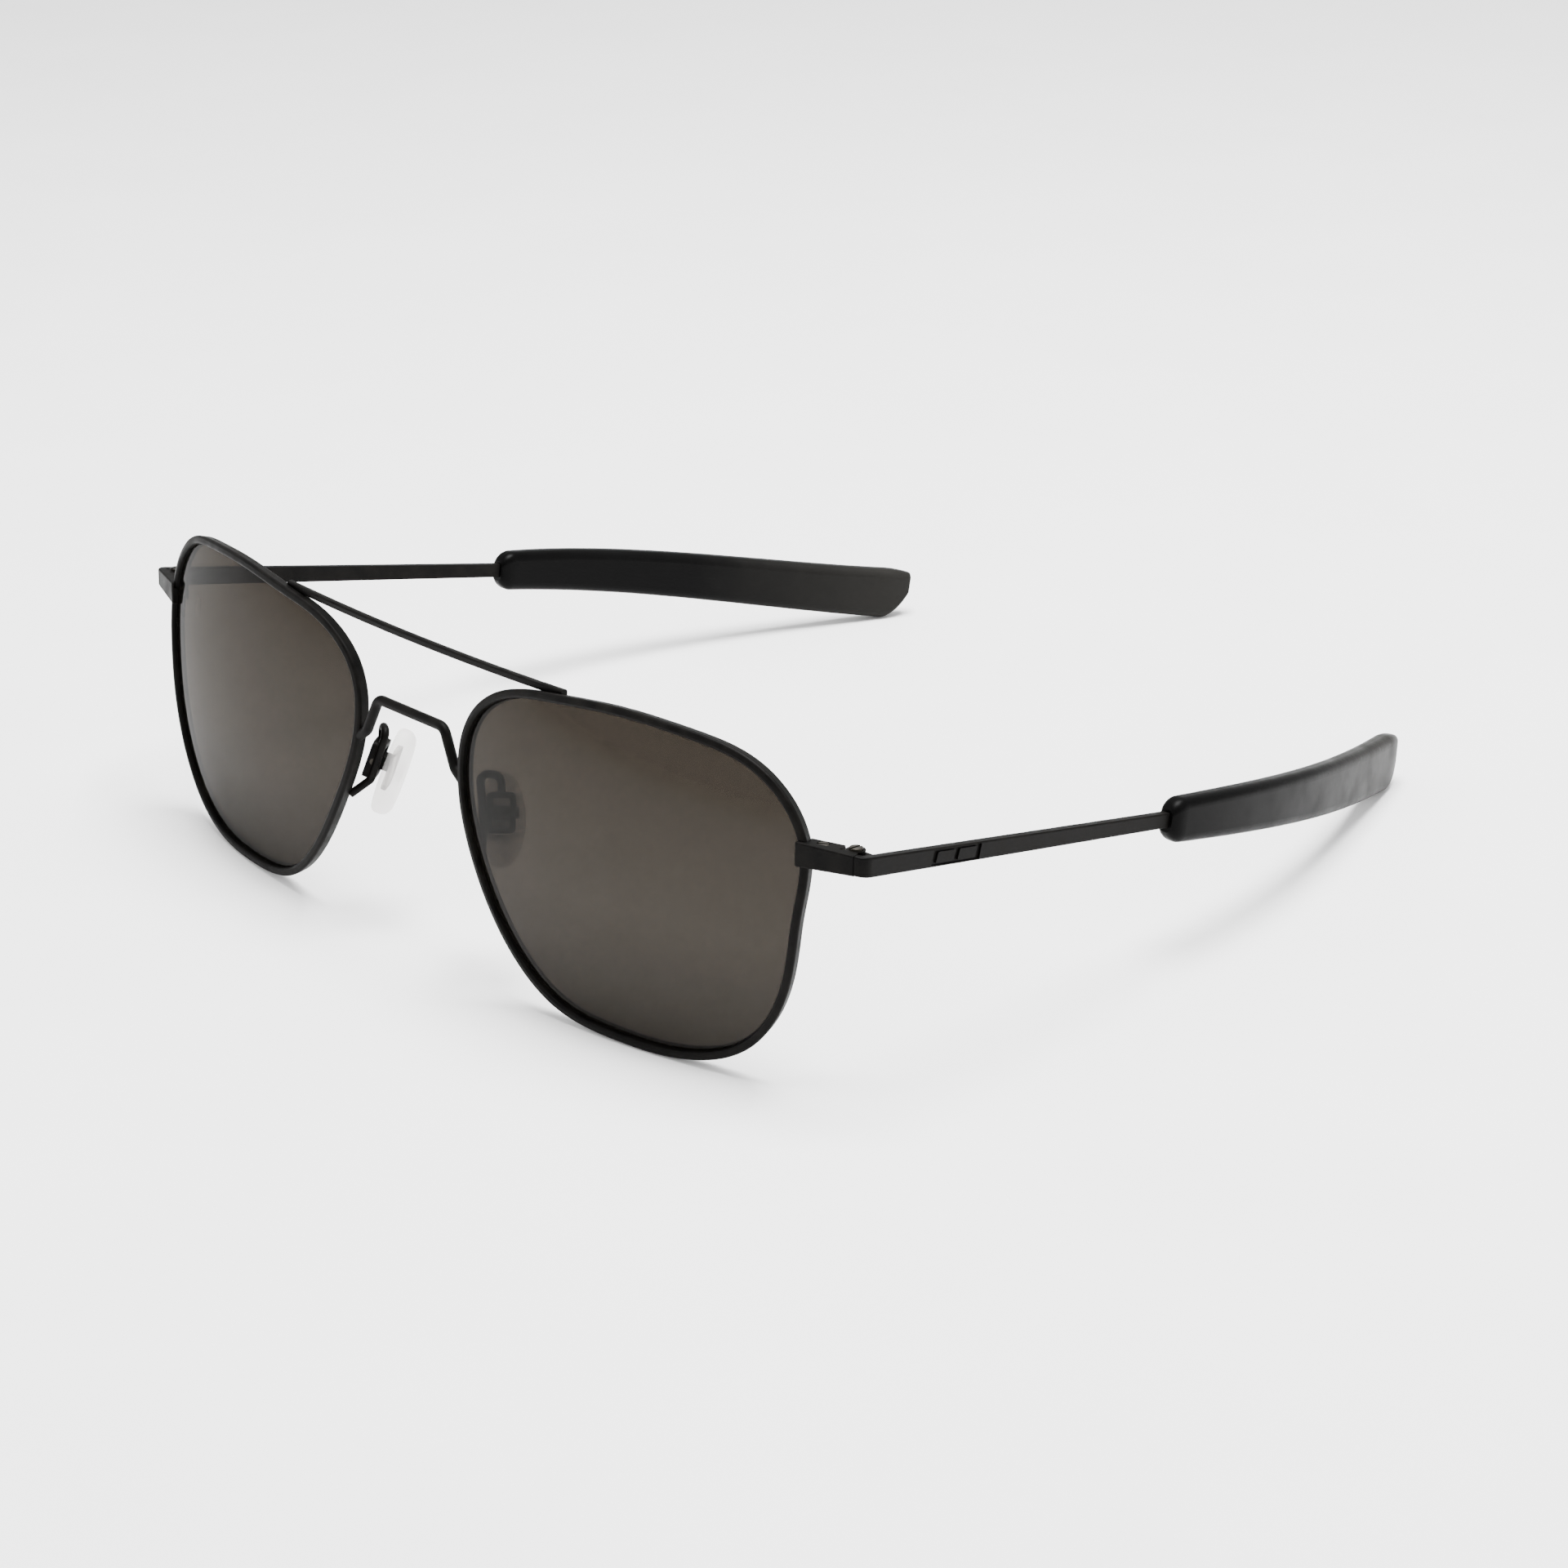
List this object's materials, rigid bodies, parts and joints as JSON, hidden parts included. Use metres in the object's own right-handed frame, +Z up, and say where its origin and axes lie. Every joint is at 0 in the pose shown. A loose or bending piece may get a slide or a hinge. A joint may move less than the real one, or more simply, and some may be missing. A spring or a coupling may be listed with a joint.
{
  "type": "sunglasses",
  "caption": "Folding metal sunglasses: squarish teardrop tinted lenses, slim rims, a brow bar over a wire bridge, clear nose pads and straight temples with dark tips.",
  "frame": {"origin": "middle of the bounding box's bottom, on the surface that the rims and temple tips stand on", "axes": "+X to the wearer's left, +Y back along the open temples, +Z up"},
  "size_m": [0.141, 0.129, 0.0413],
  "materials": {
    "black_metal": "matte black coating",
    "tinted_lens": "smooth grey-brown tint",
    "black_tip": "satin black",
    "clear_silicone": "clear, slightly cloudy",
    "screw_steel": "blackened steel"
  },
  "bodies": {
    "front": {"rim_left": "black_metal", "rim_right": "black_metal", "lens_left": "tinted_lens", "lens_right": "tinted_lens", "end_piece_left": "black_metal", "end_piece_right": "black_metal", "rim_lock_left": "black_metal", "rim_lock_right": "black_metal", "rim_screw_left": "screw_steel", "rim_screw_right": "screw_steel", "hinge_leaf_front_left": "black_metal", "hinge_leaf_front_right": "black_metal", "hinge_screw_left": "screw_steel", "hinge_screw_right": "screw_steel", "pad_arm_left": "black_metal", "pad_arm_right": "black_metal", "pad_box_left": "black_metal", "pad_box_right": "black_metal", "pad_screw_left": "screw_steel", "pad_screw_right": "screw_steel", "brow_bar": "black_metal", "bridge": "black_metal"},
    "nose_pad_left": {"nose_pad_left": "clear_silicone", "pad_core_left": "black_metal"},
    "temple_left": {"temple_left": "black_metal", "hinge_leaf_temple_left": "black_metal", "temple_tip_left": "black_tip"},
    "nose_pad_right": {"nose_pad_right": "clear_silicone", "pad_core_right": "black_metal"},
    "temple_right": {"temple_right": "black_metal", "hinge_leaf_temple_right": "black_metal", "temple_tip_right": "black_tip"}
  },
  "joints": [
    {"name": "temple_fold_left", "type": "hinge", "parent": "front", "child": "temple_left", "pos_m": [0.06772, -0.05119, 0.02898], "axis": [0, 0.0581, 0.9983], "range_deg": [0, 78]},
    {"name": "temple_fold_right", "type": "hinge", "parent": "front", "child": "temple_right", "pos_m": [-0.06772, -0.05119, 0.02898], "axis": [0, -0.0581, -0.9983], "range_deg": [0, 71]},
    {"name": "pad_rock_left", "type": "hinge", "parent": "front", "child": "nose_pad_left", "pos_m": [0.01269, -0.0588, 0.02065], "axis": [0.6267, 0.7774, -0.054], "range_deg": [-5, 5]},
    {"name": "pad_rock_right", "type": "hinge", "parent": "front", "child": "nose_pad_right", "pos_m": [-0.01269, -0.0588, 0.02065], "axis": [0.6267, -0.7774, 0.054], "range_deg": [-5, 5]}
  ]
}
